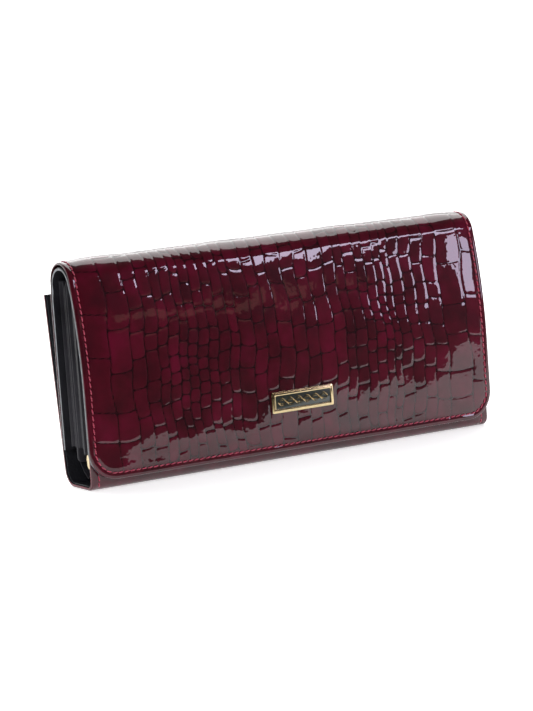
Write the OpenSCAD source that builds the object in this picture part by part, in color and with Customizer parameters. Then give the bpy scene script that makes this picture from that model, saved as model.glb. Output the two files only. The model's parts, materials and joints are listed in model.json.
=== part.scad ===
// Long flap wallet in patent leather, standing on its bottom fold.
// X runs along the length, -Y is the front of the flap, +Z is up.
// The origin is the middle of the footprint, on the surface it stands on.

/* [Overall] */
// Length of the flap, end to end
flap_l = 190; // [150:1:230]
// Height of the top of the flap's arch above the table
wallet_h = 91; // [80:0.5:112]
// How much shorter the body is than the flap, at each end
body_inset = 1; // [0:0.5:3]

/* [Leather and lining] */
// Thickness of the patent leather
leather_t = 1.2; // [0.8:0.1:1.6]
// Thickness of the black lining
lining_t = 0.5; // [0.3:0.1:0.8]
// Thickness of the stiffener in the flap's front
filler_t = 0.4; // [0.3:0.1:0.8]
// Thickness of the board in the wallet's back wall
board_t = 1.0; // [0.6:0.1:1.6]
// Thickness of the dividing leaves
leaf_t = 1.1; // [0.8:0.1:1.6]
// Thickness of one card slot's sheet
slot_t = 0.3; // [0.2:0.1:0.4]

/* [Room inside, front to back] */
// Gap between the closed flap and the purse's front
flap_gap = 1.0; // [0.8:0.1:2]
// Depth of the coin purse
purse_gap = 5.5; // [4.6:0.1:8]
// Depth of each of the two bill compartments
bill_gap = 5.1; // [4.6:0.1:8]
// Depth of the back pocket at its mouth
pocket_gap = 6.2; // [6:0.1:9]

/* [Heights] */
// Height of the flap's lower edge
flap_edge_z = 4.1; // [2:0.1:12]
// How far the back panel stops below the top of the flap
back_drop = 15; // [13:0.5:25]
// Height of the purse front's top edge
front_top_z = 47.5; // [38:0.5:60]
// How far the leaves stop below the top of the flap
leaf_drop = 9; // [9:0.5:20]
// Height of the leaves' bottom edge
leaf_bottom_z = 10; // [9:0.5:14]
// Height below which the flap's front hangs straight down
flap_straight_z = 36; // [28:1:44]

/* [Folds and corners] */
// Radius of the fold between the base and the back panel
back_fold_r = 7; // [5:0.5:9]
// Radius of the fold between the base and the purse's front
front_fold_r = 4; // [3:0.5:5]
// How far the back panel leans out, in degrees
back_lean = 5.5; // [2:0.5:7]
// How far the front of the arch stands behind the flap's front face
arch_setback = 5.5; // [3:0.1:8]
// Radius of the flap's lower corners
flap_corner_r = 11.5; // [6:0.5:20]
// Radius of the panels' corners
panel_corner_r = 4; // [2:0.5:8]

/* [Purse frame] */
// Thickness of each half of the frame, front to back
frame_t = 1.8; // [1.4:0.1:2]
// Width of the frame's bar
frame_bar = 3.6; // [3:0.1:5]
// Radius of the frame's corners
frame_r = 9; // [6:0.5:14]
// Height of the frame's hinge above the table
hinge_z = 11; // [10:0.5:13]
// Diameter of the hinge ears
ear_d = 6.6; // [5:0.1:7]
// Diameter of the hinge rivets' shafts
rivet_d = 1.6; // [1.2:0.1:2.4]
// Diameter of the clasp balls
clasp_d = 4; // [3:0.1:4.5]

/* [Back zip] */
// How far the rows of teeth stop from the body's ends
zip_end = 10; // [8:0.5:30]
// Spacing of the teeth along a row
tooth_pitch = 2.1; // [1.8:0.1:3]
// Length of the slider
slider_l = 7; // [6:0.5:9]
// Length of the puller
puller_l = 20; // [14:1:28]

/* [Nameplate and snap] */
// Length of the nameplate
plate_l = 29; // [20:0.5:40]
// Height of the nameplate
plate_h = 8.6; // [6:0.1:12]
// How far the nameplate stands out of the flap
plate_proud = 1.2; // [0.8:0.1:1.6]
// Height of the nameplate's middle
plate_z = 24.2; // [18:0.1:32]
// Where the nameplate's middle is along the flap
plate_x = 2; // [-10:0.5:10]
// Diameter of the snap's socket
snap_d = 9; // [8:0.5:10]

/* [Stitching] */
// Distance of the seam from the leather's edge
seam_inset = 2.3; // [1.8:0.1:4]
// Width of the seam's thread
thread_w = 0.8; // [0.6:0.1:1]
// How far the thread stands out of the leather
thread_h = 0.3; // [0.2:0.1:0.4]

/* [Hidden] */
// Clearance between parts that move past each other
CLEAR = 0.3;
// Running clearance of the rivets in the ears, on the radius
RUN = 0.05;
// Overshoot that makes a cut go right through
CUT = 1;
// Steps in a drawn arc
ARC_N = 12;

// Layers of the flap, counted inwards from its outer face
flap_t = leather_t + filler_t + lining_t;
// Layers of the purse's front and the back panel
panel_t = leather_t + lining_t;
// Layers of the back wall
wall_t = leather_t + board_t + lining_t;

// Places from front to back, measured from the flap's front face
panel_y = flap_t + flap_gap;
purse_y = panel_y + panel_t;
front_leaf_y = purse_y + purse_gap;
bill_1_y = front_leaf_y + leaf_t;
mid_leaf_y = bill_1_y + bill_gap;
bill_2_y = mid_leaf_y + leaf_t;
wall_y = bill_2_y + bill_gap;
pocket_y = wall_y + wall_t;
depth = pocket_y + pocket_gap + panel_t;
// Moves the front face to its place, so that the plate and the back are
// equally far from the middle
mid_shift = -(depth - plate_proud) / 2;

body_l = flap_l - 2 * body_inset;
back_top_z = wallet_h - back_drop;
leaf_top_z = wallet_h - leaf_drop;

// Arch over the top: its outer face meets the back wall and rises to the top
arch_r = (pocket_y - arch_setback) / 2;
arch_c = [pocket_y - arch_r, wallet_h - arch_r];
// The front leaves the arch at a small angle and bends back to upright
front_drop = arch_c.y - flap_straight_z;
front_angle = 2 * atan(arch_setback / front_drop);
front_r = arch_r + front_drop / sin(front_angle);
// The two fold lines: each lets a quarter of the arch straighten at its length
fold_rho = arch_r * PI / 4 * sqrt(2);
SEAM_ANGLE = 0.6;

// Bottom fold of the shell
front_fold_c = [panel_y + front_fold_r, front_fold_r];
back_fold_c = [
    depth - back_fold_r * cos(back_lean)
        - tan(back_lean) * (back_top_z - back_fold_r * (1 - sin(back_lean))),
    back_fold_r
];
back_run = (back_top_z - back_fold_r * (1 - sin(back_lean))) / cos(back_lean);

// Purse hinge, in the plane where the frame's halves meet
HALF_GAP = 0.1;
hinge_y = front_leaf_y - frame_t - HALF_GAP / 2;
hinge = [hinge_y, hinge_z];
knuckle_r = hinge_y - panel_y;
KNUCKLE_END = 220;
// The shell's lip stops this far below the hinge, so that the open panel clears it
LIP_DROP = 2.9;
frame_l = body_l - 5;
frame_top_z = front_top_z - 1;
frame_in_l = frame_l - 4 - 2 * frame_bar;
ear_t = 0.8;
EAR_GAP = 0.2;
HEAD_LIP = 1.6;
HEAD_T = 0.5;
// Length of the hinge at each end, from inside the ears to past the rivet heads
EAR_ROOM = 7;
ear_x = frame_l / 2 - ear_t;
clasp_y = front_leaf_y - clasp_d / 2 - 0.1;

// The wall's foot stands clear of the back panel, and of the fold below it
FOOT_RISE = 4.5;
BOARD_IN = 3;
BOARD_RISE = 1.5;
wall_foot_z = max(
    back_fold_r + FOOT_RISE,
    back_top_z - (pocket_gap - CLEAR) / tan(back_lean)
);
// The back pocket ends where the back panel comes close to the wall
pocket_floor_z = max(
    wall_foot_z + 1,
    back_top_z - (pocket_gap - 2 * lining_t) / tan(back_lean)
);

// Zip: its plane slopes down from the back wall to the back panel
zip_l = body_l - 2 * zip_end;
zip_tilt = -25;
zip_c = [depth - panel_t - pocket_gap / 2 + 0.4, back_top_z + 2.8];
tape_t = 0.5;
TAPE_IN = 3;
LAP = 0.02;
tape_tail_z = back_top_z - 7;
tooth_w = 1.2;
tooth_t = 1.5;
tooth_gap = 0.4;
tooth_reach = 1.8;
plate_gap = 0.25;
slider_plate = 0.8;
slider_w = 5.4;
slider_low_w = 4;
slider_post = 0.5;
slider_x = zip_l / 2 - slider_l;
bail_x = 1;
pin_d = 1.2;
lug = [2.2, 0.9, 2.3];
lug_y = 2.2;
LIP_T = 0.5;
PULLER_PLAY = 0.2;
puller_t = 0.8;
puller_w = 3.6;
puller_w0 = tooth_t / 2 + plate_gap + slider_plate + 1;

// Prongs of the nameplate, bent over behind the leather
prong_w = 3;
prong_t = 0.5;
prong_bend_h = 3.5;

// Snap behind the nameplate
stud_d = 3.4;
bore_d = 4.4;
socket_floor = 0.4;
STUD_GAP = 0.1;
socket_h = flap_t - leather_t + flap_gap - CLEAR;
stud_h = flap_t - leather_t + flap_gap - socket_floor - STUD_GAP;

// Leaves, card slots and gussets: how far each stops from the body's ends, and
// how far it starts above the leaves' foot
LEAF_IN = 1.5;
FLOOR_IN = 12;
FLOOR_RISE = 5;
GUSSET_RISE = 6;
SLOT_FOOT = 7;
SLOT_HEAD = 4;
slot_n = 3;
slot_w = body_l / 2 - 8;
slot_step = 7;
gusset_in = 8;
gusset_t = 0.6;
gusset_x = body_l / 2 - LEAF_IN;

// Points on an arc, from angle a1 to a2
function arc(c, r, a1, a2, n = ARC_N) =
    [for (i = [0:n]) c + r * [cos(a1 + (a2 - a1) * i / n), sin(a1 + (a2 - a1) * i / n)]];

function reversed(p) = [for (i = [len(p) - 1:-1:0]) p[i]];

// A band between two paths
function band(outer, inner) = concat(outer, reversed(inner));

// Path of the flap's front at depth d under its outer face, down to height z
function front_path(d, z) = concat(
    arc(arch_c, arch_r - d, 135 + SEAM_ANGLE, 180 - front_angle),
    arc([front_r, flap_straight_z], front_r - d, 180 - front_angle, 180),
    [[d, z]]
);

// Path of the arch's middle piece at depth d
function spine_path(d) = arc(arch_c, arch_r - d, 45 + SEAM_ANGLE, 135 - SEAM_ANGLE, 2 * ARC_N);

// Path of the back wall at depth d under its outer face, from height z up
function wall_path(d, z) = concat(
    [[pocket_y - d, z]],
    arc(arch_c, arch_r - d, 0, 45 - SEAM_ANGLE)
);

// Path of the shell at depth d: back panel, base, and front lip up to height z
function shell_path(d, z) = concat(
    [back_fold_c + (back_fold_r - d) * [cos(back_lean), -sin(back_lean)]
        + back_run * [sin(back_lean), cos(back_lean)]],
    arc(back_fold_c, back_fold_r - d, -back_lean, -90),
    arc(front_fold_c, front_fold_r - d, -90, -180),
    [[panel_y + d, z]]
);

// Point on the back panel at depth d and height z
function back_point(d, z) = [
    back_fold_c.x + (back_fold_r - d) / cos(back_lean)
        + tan(back_lean) * (z - back_fold_r),
    z
];

// Moves what is drawn from the flap's front face to its place in the frame
module placed() {
    translate([0, mid_shift, 0])
        children();
}

// A (y, z) outline drawn out along the length
module along(length, points, x = 0) {
    translate([x, 0, 0])
        rotate([90, 0, 90])
            linear_extrude(length, center = true)
                polygon(points);
}

// An (x, z) outline drawn out from y1 back to y2
module upright(y1, y2) {
    translate([0, y2, 0])
        rotate([90, 0, 0])
            linear_extrude(y2 - y1)
                children();
}

// A rectangle of width w between heights z1 and z2, with round corners
module card(w, z1, z2, r_low, r_high) {
    polygon(concat(
        arc([-w / 2 + r_low, z1 + r_low], r_low, 180, 270),
        arc([w / 2 - r_low, z1 + r_low], r_low, 270, 360),
        arc([w / 2 - r_high, z2 - r_high], r_high, 0, 90),
        arc([-w / 2 + r_high, z2 - r_high], r_high, 90, 180)
    ));
}

// A drum along the length, at a (y, z) point
module drum(c, d, length, x = 0) {
    translate([x, c.x, c.y])
        rotate([0, 90, 0])
            cylinder(d = d, h = length, center = true, $fn = 64);
}

// Outline of the flap's front, less a margin
module flap_outline(margin = 0) {
    card(flap_l - 2 * margin, flap_edge_z + margin, wallet_h + 2,
        flap_corner_r - margin, 0.5);
}

// Outline of the seam's line on the flap's front
module seam_outline() {
    difference() {
        flap_outline(seam_inset);
        flap_outline(seam_inset + thread_w);
    }
}

// Outline of the back panel, less a margin
module back_outline(margin = 0) {
    card(body_l - 2 * margin, -2, back_top_z + 2, 0.5, panel_corner_r);
}

// ---- shell: back panel, base and front lip ----

module shell_band(d1, d2) {
    difference() {
        along(body_l, band(shell_path(d1, hinge_z - LIP_DROP), shell_path(d2, hinge_z - LIP_DROP)));
        drum(hinge, 2 * (knuckle_r + CLEAR), body_l + CUT);
    }
}

module shell_leather() {
    color("#5a0a1c")
        placed()
            intersection() {
                shell_band(0, leather_t);
                upright(-CUT, depth + CUT)
                    card(body_l, -CUT, back_top_z + 0.2, 0.5, panel_corner_r);
            }
}

module shell_lining() {
    color("#17161a")
        placed()
            intersection() {
                shell_band(leather_t, panel_t);
                upright(0, depth)
                    card(body_l - 2, -CUT, tape_tail_z - CLEAR, 0.5, 0.5);
            }
}

// Seam along the back panel's ends
module shell_stitching() {
    color("#8f2440")
        placed()
            for (side = [-1, 1])
                along(
                    thread_w,
                    band(
                        [back_point(-thread_h, back_top_z - 2 * seam_inset),
                            back_point(-thread_h, back_fold_r)],
                        [back_point(0, back_top_z - 2 * seam_inset), back_point(0, back_fold_r)]
                    ),
                    side * (body_l / 2 - seam_inset)
                );
}

// Bag of the back pocket, against the back wall
module pocket_lining() {
    color("#17161a")
        placed()
            translate([-body_l / 2 + 4, pocket_y, pocket_floor_z])
                cube([body_l - 8, lining_t, tape_tail_z - CLEAR - pocket_floor_z]);
}

// ---- back zip ----

// Places what is drawn in the zip's own plane: x along it, y across, z out of it
module on_zip() {
    translate([0, zip_c.x, zip_c.y])
        rotate([zip_tilt, 0, 0])
            children();
}

// A point across the zip, as a (y, z) point of the profile
function zip_point(u, w) = zip_c
    + [u * cos(zip_tilt) - w * sin(zip_tilt), u * sin(zip_tilt) + w * cos(zip_tilt)];

module zip_tapes() {
    color("#1b1a1e")
        placed() {
            along(body_l - 2 * TAPE_IN, [
                zip_point(tooth_reach, tape_t / 2),
                zip_point(tooth_reach, -tape_t / 2),
                back_point(leather_t + tape_t, back_top_z - 0.5),
                back_point(leather_t + tape_t, tape_tail_z),
                back_point(leather_t + LAP, tape_tail_z),
                back_point(leather_t + LAP, back_top_z - 0.5),
                back_point(leather_t, back_top_z + 1.1)
            ]);
            along(body_l - 2 * TAPE_IN, [
                zip_point(-tooth_reach, -tape_t / 2),
                zip_point(-tooth_reach, tape_t / 2),
                [pocket_y + tape_t, back_top_z + 4.2],
                [pocket_y + LAP, back_top_z + 4],
                [pocket_y + LAP, tape_tail_z],
                [pocket_y + tape_t, tape_tail_z],
                [pocket_y + tape_t, back_top_z + 3.2]
            ]);
        }
}

module zip_teeth() {
    color("#c9a45c")
        placed()
            on_zip()
                for (side = [-1, 1])
                    for (x = [-zip_l / 2:tooth_pitch:zip_l / 2 - tooth_pitch])
                        translate([
                            x + (side + 1) * tooth_pitch / 4,
                            side > 0 ? tooth_gap : -tooth_reach,
                            -tooth_t / 2
                        ])
                            cube([tooth_w, tooth_reach - tooth_gap, tooth_t]);
}

module zip_stops() {
    color("#c9a45c")
        placed()
            on_zip()
                for (side = [-1, 1])
                    translate([side * (zip_l / 2 + 2) - 1, -tooth_reach, -tooth_t / 2])
                        cube([2, 2 * tooth_reach, tooth_t]);
}

module zip_slider() {
    low = tooth_t / 2 + plate_gap;
    color("#d3ad62")
        placed()
            on_zip()
                translate([slider_x, 0, 0]) {
                    translate([-slider_l / 2, -slider_w / 2, low])
                        cube([slider_l, slider_w, slider_plate]);
                    translate([-slider_l / 2, -slider_low_w / 2, -low - slider_plate])
                        cube([slider_l, slider_low_w, slider_plate]);
                    translate([-slider_l / 2, -slider_post / 2, -low - 0.1])
                        cube([2, slider_post, 2 * low + 0.2]);
                    for (side = [-1, 1])
                        translate([
                            -slider_l / 2,
                            side * (slider_w / 2 - LIP_T / 2) - LIP_T / 2,
                            tape_t / 2 + 0.2
                        ])
                            cube([slider_l, LIP_T, low - tape_t / 2]);
                    // Two lugs hold the puller's pin
                    for (side = [-1, 1])
                        translate([
                            bail_x - lug.x / 2,
                            side * lug_y - lug.y / 2,
                            low + slider_plate - 0.1
                        ])
                            difference() {
                                cube(lug);
                                translate([lug.x / 2, -CUT, lug.x / 2])
                                    rotate([-90, 0, 0])
                                        cylinder(d = pin_d + 2 * RUN, h = 3, $fn = 32);
                            }
                }
}

// Puller with its own pin, lying along the zip
module zip_puller() {
    color("#d3ad62")
        placed()
            on_zip()
                translate([slider_x + bail_x, 0, puller_w0]) {
                    rotate([90, 0, 0])
                        cylinder(d = pin_d, h = 5.2, center = true, $fn = 32);
                    difference() {
                        translate([-puller_l, -puller_w / 2 + PULLER_PLAY, -puller_t / 2])
                            cube([puller_l, puller_w - 2 * PULLER_PLAY, puller_t]);
                        translate([-puller_l + 3, 0, -CUT])
                            cylinder(d = 1.8, h = 3, $fn = 32);
                    }
                }
}

// ---- back wall: the flap's fixed end, its board and lining ----

module back_wall_leather() {
    color("#5a0a1c")
        placed()
            intersection() {
                along(flap_l, band(wall_path(0, wall_foot_z), wall_path(leather_t, wall_foot_z)));
                union() {
                    translate([-body_l / 2, 0, 0])
                        cube([body_l, depth, back_top_z]);
                    translate([-flap_l / 2, 0, back_top_z])
                        cube([flap_l, depth, 30]);
                }
            }
}

module board_block() {
    translate([-body_l / 2 + BOARD_IN, pocket_y - leather_t - board_t, wall_foot_z + BOARD_RISE])
        cube([body_l - 2 * BOARD_IN, board_t, arch_c.y - wall_foot_z - 2 - BOARD_RISE]);
}

module back_wall_board() {
    color("#8a7a63")
        placed()
            board_block();
}

module back_wall_lining() {
    color("#17161a")
        placed()
            difference() {
                along(body_l - 1, band(
                    wall_path(leather_t, wall_foot_z),
                    wall_path(wall_t, wall_foot_z)
                ));
                board_block();
            }
}

// Seam on both ends of the wall, where the flap begins
module back_wall_stitching() {
    color("#b3324f")
        placed()
            for (side = [-1, 1])
                along(
                    thread_w,
                    band(wall_path(-thread_h, back_top_z + 5), wall_path(0, back_top_z + 5)),
                    side * (flap_l / 2 - seam_inset - thread_w / 2)
                );
}

// ---- leaves, card slots and gussets ----

// Stepped card slots on the front of a leaf whose face is at y
module card_slots(y) {
    for (side = [-1, 1])
        for (i = [0:slot_n - 1])
            upright(y - (i + 1) * slot_t, y - i * slot_t)
                translate([side * (slot_w / 2 + 0.5), 0])
                    card(slot_w - 2 * i, leaf_bottom_z + SLOT_FOOT,
                        leaf_top_z - SLOT_HEAD - (i + 1) * slot_step, 1, 1);
}

module card_slots_rear() {
    color("#1e1c20")
        placed()
            card_slots(wall_y);
}

module card_slots_middle() {
    color("#1e1c20")
        placed()
            card_slots(mid_leaf_y);
}

module leaf(y) {
    upright(y, y + leaf_t)
        card(body_l - 2 * LEAF_IN, leaf_bottom_z, leaf_top_z, 2, 3);
}

module middle_leaf() {
    color("#1a191c")
        placed()
            leaf(mid_leaf_y);
}

module front_leaf() {
    color("#1a191c")
        placed()
            difference() {
                leaf(front_leaf_y);
                for (side = [-1, 1])
                    drum(hinge, ear_d + 2 * CLEAR + 0.4, 6, side * (ear_x + 1));
            }
}

// Strips that close the bill compartments at the bottom
module compartment_floor() {
    color("#17161a")
        placed()
            for (y = [bill_1_y, bill_2_y])
                translate([-body_l / 2 + FLOOR_IN, y, leaf_bottom_z + FLOOR_RISE])
                    cube([body_l - 2 * FLOOR_IN, bill_gap, lining_t]);
}

// One inward fold between two leaves, y1 and y2, seen from above
module gusset_fold(side, y1, y2) {
    mid = (y1 + y2) / 2;
    x = side * gusset_x;
    tip = side * (gusset_x - gusset_in);
    step = side * gusset_t * 3;
    translate([0, 0, leaf_bottom_z + GUSSET_RISE])
        linear_extrude(leaf_top_z - leaf_bottom_z - GUSSET_RISE)
            polygon([
                [x, y1 + LAP], [tip, mid], [x, y2 - LAP],
                [x, y2 - gusset_t], [tip + step, mid], [x, y1 + gusset_t]
            ]);
}

module gusset(side) {
    color("#151418")
        placed() {
            gusset_fold(side, bill_1_y, mid_leaf_y - slot_n * slot_t);
            gusset_fold(side, bill_2_y, wall_y - slot_n * slot_t);
        }
}

module gusset_left() {
    gusset(-1);
}

module gusset_right() {
    gusset(1);
}

// ---- coin purse: rear half, fixed to the front leaf ----

module purse_lining() {
    color("#17161a")
        placed()
            upright(front_leaf_y - lining_t, front_leaf_y)
                card(frame_in_l - 2, leaf_bottom_z + 6, frame_top_z - frame_bar - CLEAR, 2, frame_r);
}

// Folded ends of the purse, between the frame's arms
module purse_gussets() {
    x = frame_in_l / 2 - CLEAR;
    color("#1e1c20")
        placed()
            for (side = [-1, 1])
                translate([0, 0, hinge_z + 6])
                    linear_extrude(frame_top_z - frame_r - hinge_z - 8)
                        polygon([
                            [side * x, purse_y + CLEAR],
                            [side * (x - 7), purse_y + purse_gap / 2],
                            [side * x, front_leaf_y - lining_t - CLEAR],
                            [side * x, front_leaf_y - lining_t - CLEAR - gusset_t],
                            [side * (x - 5), purse_y + purse_gap / 2],
                            [side * x, purse_y + CLEAR + gusset_t]
                        ]);
}

// An arch of width l outside, upside-down U, with arms down to the hinge
module frame_arch(l) {
    difference() {
        card(l, hinge_z, frame_top_z, 0.2, frame_r);
        card(frame_in_l, hinge_z - CUT, frame_top_z - frame_bar, 0.2, frame_r - frame_bar / 2);
    }
}

// Ears of one frame half, with their rivet holes
module frame_ears(inner_x) {
    for (side = [-1, 1])
        drum(hinge, ear_d, ear_t, side * (inner_x + ear_t / 2));
}

module rivet_holes() {
    for (side = [-1, 1])
        drum(hinge, rivet_d + 2 * RUN, 8, side * ear_x);
}

module purse_rear_frame() {
    color("#d8b46a")
        placed()
            difference() {
                union() {
                    upright(hinge_y + HALF_GAP / 2, front_leaf_y)
                        frame_arch(2 * (ear_x - EAR_GAP));
                    frame_ears(ear_x - EAR_GAP - ear_t);
                }
                rivet_holes();
            }
}

// The front half turns outside the rear half's ears
module purse_front_frame() {
    color("#d8b46a")
        placed()
            difference() {
                union() {
                    difference() {
                        upright(hinge_y - HALF_GAP / 2 - frame_t, hinge_y - HALF_GAP / 2)
                            frame_arch(frame_l);
                        drum(hinge, ear_d + 2 * CLEAR, 2 * (ear_x - EAR_GAP / 2));
                    }
                    frame_ears(ear_x);
                }
                rivet_holes();
            }
}

// Leather rim between the front panel and the frame's front half
module purse_front_rim() {
    color("#1a191c")
        placed()
            difference() {
                upright(purse_y, hinge_y - HALF_GAP / 2 - frame_t)
                    frame_arch(frame_l);
                drum(hinge, ear_d + 2 * CLEAR, frame_l + CUT);
            }
}

// A ball in the middle of the frame, on a stem that stands on one half
module clasp_ball(x, stem_y) {
    translate([x, stem_y, frame_top_z])
        cylinder(d = frame_t - 0.2, h = 1.6, $fn = 32);
    translate([x, clasp_y, frame_top_z + 0.8 + clasp_d / 2])
        sphere(d = clasp_d, $fn = 48);
}

module clasp_ball_rear() {
    color("#d8b46a")
        placed()
            clasp_ball(-clasp_d / 2 - CLEAR, hinge_y + (HALF_GAP + frame_t) / 2);
}

module clasp_ball_front() {
    color("#d8b46a")
        placed()
            clasp_ball(clasp_d / 2 + CLEAR, hinge_y - (HALF_GAP + frame_t) / 2);
}

module hinge_rivets() {
    color("#b8923f")
        placed()
            for (side = [-1, 1]) {
                drum(hinge, rivet_d, 2 * ear_t + 2 * EAR_GAP, side * ear_x);
                drum(hinge, rivet_d + HEAD_LIP, HEAD_T, side * (ear_x + ear_t + 0.1 + HEAD_T / 2));
            }
}

// ---- purse front: panel, its lining and the moving frame half ----

// The panel between depths d1 and d2, with the lip that turns about the hinge
module panel_band(d1, d2, top) {
    difference() {
        intersection() {
            along(body_l, band(
                concat([[panel_y + d1, top]], arc(hinge, knuckle_r - d1, 180, KNUCKLE_END)),
                concat([[panel_y + d2, top]], arc(hinge, knuckle_r - d2, 180, KNUCKLE_END))
            ));
            upright(0, depth)
                card(body_l, 0, top, 0.5, panel_corner_r);
        }
        // Room for the hinge ears and rivet heads inside the lip
        for (side = [-1, 1])
            drum(hinge, ear_d + CLEAR, EAR_ROOM, side * (body_l / 2 - EAR_ROOM / 2 + CUT));
    }
}

module stud_seat() {
    translate([plate_x, panel_y, plate_z])
        rotate([-90, 0, 0])
            translate([0, 0, -CUT])
                cylinder(d = snap_d - 2, h = leather_t / 2 + CUT, $fn = 48);
}

module front_panel_leather() {
    color("#5a0a1c")
        placed()
            difference() {
                panel_band(0, leather_t, front_top_z);
                stud_seat();
            }
}

module front_panel_lining() {
    color("#17161a")
        placed()
            panel_band(leather_t, panel_t, front_top_z - 1);
}

// Seam down both ends of the panel
module front_panel_stitching() {
    color("#b3324f")
        placed()
            for (side = [-1, 1])
                translate([
                    side * (body_l / 2 - seam_inset - 1) - thread_w / 2,
                    panel_y - thread_h,
                    hinge_z + 2
                ])
                    cube([thread_w, thread_h, front_top_z - seam_inset - hinge_z - 2]);
}

module snap_stud() {
    color("#c9a45c")
        placed()
            translate([plate_x, panel_y, plate_z])
                rotate([-90, 0, 0]) {
                    cylinder(d = snap_d - 2, h = leather_t / 2, $fn = 48);
                    translate([0, 0, -stud_h])
                        cylinder(d = stud_d, h = stud_h + 0.1, $fn = 48);
                }
}

// ---- flap: the middle piece over the arch ----

module flap_spine_leather() {
    color("#5a0a1c")
        placed()
            along(flap_l, band(spine_path(0), spine_path(leather_t)));
}

module flap_spine_lining() {
    color("#17161a")
        placed()
            along(flap_l - 2, band(spine_path(leather_t + filler_t), spine_path(flap_t)));
}

module flap_spine_stitching() {
    color("#b3324f")
        placed()
            for (side = [-1, 1])
                along(
                    thread_w,
                    band(spine_path(-thread_h), spine_path(0)),
                    side * (flap_l / 2 - seam_inset - thread_w / 2)
                );
}

// ---- flap: the front ----

module flap_layer(d1, d2, margin = 0) {
    intersection() {
        along(flap_l, band(front_path(d1, 0), front_path(d2, 0)));
        upright(-plate_proud - CUT, depth)
            flap_outline(margin);
    }
}

// The prongs' blocks, from depth y1 to y2 and h high
module prong_blocks(y1, y2, h) {
    for (side = [-1, 1])
        translate([plate_x + side * (plate_l / 2 - 5) - prong_w / 2, y1, plate_z])
            cube([prong_w, y2 - y1, h]);
}

module snap_seat() {
    translate([plate_x, leather_t, plate_z])
        rotate([-90, 0, 0])
            cylinder(d = snap_d, h = flap_t + CUT, $fn = 48);
}

module flap_front_leather() {
    color("#5a0a1c")
        placed()
            difference() {
                flap_layer(0, leather_t);
                prong_blocks(-CUT, leather_t + CUT, prong_t);
            }
}

// Stiffener, kept inside the seam
module filler_block() {
    flap_layer(leather_t, leather_t + filler_t, seam_inset + 2);
}

module flap_front_filler() {
    color("#8a7a63")
        placed()
            difference() {
                filler_block();
                prong_blocks(leather_t - CUT, leather_t + filler_t, prong_bend_h);
                snap_seat();
            }
}

module flap_front_lining() {
    color("#17161a")
        placed()
            difference() {
                flap_layer(leather_t, flap_t, 0.3);
                filler_block();
                snap_seat();
            }
}

module flap_front_stitching() {
    color("#b3324f")
        placed()
            intersection() {
                along(flap_l, band(front_path(-thread_h, 0), front_path(0, 0)));
                upright(-plate_proud - CUT, depth)
                    seam_outline();
            }
}

// ---- nameplate and snap socket ----

module plate_slab(margin, y1, y2) {
    upright(y1, y2)
        translate([plate_x, 0])
            card(plate_l - 2 * margin, plate_z - plate_h / 2 + margin,
                plate_z + plate_h / 2 - margin, 0.6, 0.6);
}

module nameplate_frame() {
    color("#d8c48e")
        placed()
            difference() {
                union() {
                    plate_slab(0, -plate_proud * 0.6, 0);
                    plate_slab(0.5, -plate_proud, 0);
                }
                plate_slab(1.5, -plate_proud - CUT, -plate_proud * 0.35);
            }
}

module nameplate_plate() {
    color("#3c403c")
        placed()
            plate_slab(1.5, -plate_proud * 0.7, -plate_proud * 0.35);
}

module nameplate_prongs() {
    color("#c9b27a")
        placed()
            union() {
                prong_blocks(0, leather_t + filler_t, prong_t);
                prong_blocks(leather_t, leather_t + filler_t, prong_bend_h);
            }
}

module snap_socket() {
    color("#c9a45c")
        placed()
            translate([plate_x, leather_t, plate_z])
                rotate([-90, 0, 0])
                    difference() {
                        cylinder(d = snap_d, h = socket_h, $fn = 48);
                        translate([0, 0, socket_floor])
                            cylinder(d = bore_d, h = socket_h, $fn = 48);
                    }
}

shell_leather();
shell_lining();
shell_stitching();
pocket_lining();
zip_tapes();
zip_teeth();
zip_stops();
zip_slider();
zip_puller();
back_wall_leather();
back_wall_board();
back_wall_lining();
back_wall_stitching();
card_slots_rear();
middle_leaf();
card_slots_middle();
front_leaf();
compartment_floor();
gusset_left();
gusset_right();
purse_lining();
purse_gussets();
purse_rear_frame();
clasp_ball_rear();
hinge_rivets();
front_panel_leather();
front_panel_lining();
front_panel_stitching();
purse_front_rim();
purse_front_frame();
clasp_ball_front();
snap_stud();
flap_spine_leather();
flap_spine_lining();
flap_spine_stitching();
flap_front_leather();
flap_front_lining();
flap_front_filler();
flap_front_stitching();
nameplate_frame();
nameplate_plate();
nameplate_prongs();
snap_socket();
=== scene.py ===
"""Long flap wallet in glossy embossed leather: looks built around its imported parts."""

import json
import math
from types import SimpleNamespace

import bpy
import numpy as np
from mathutils import Matrix, Vector


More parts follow.
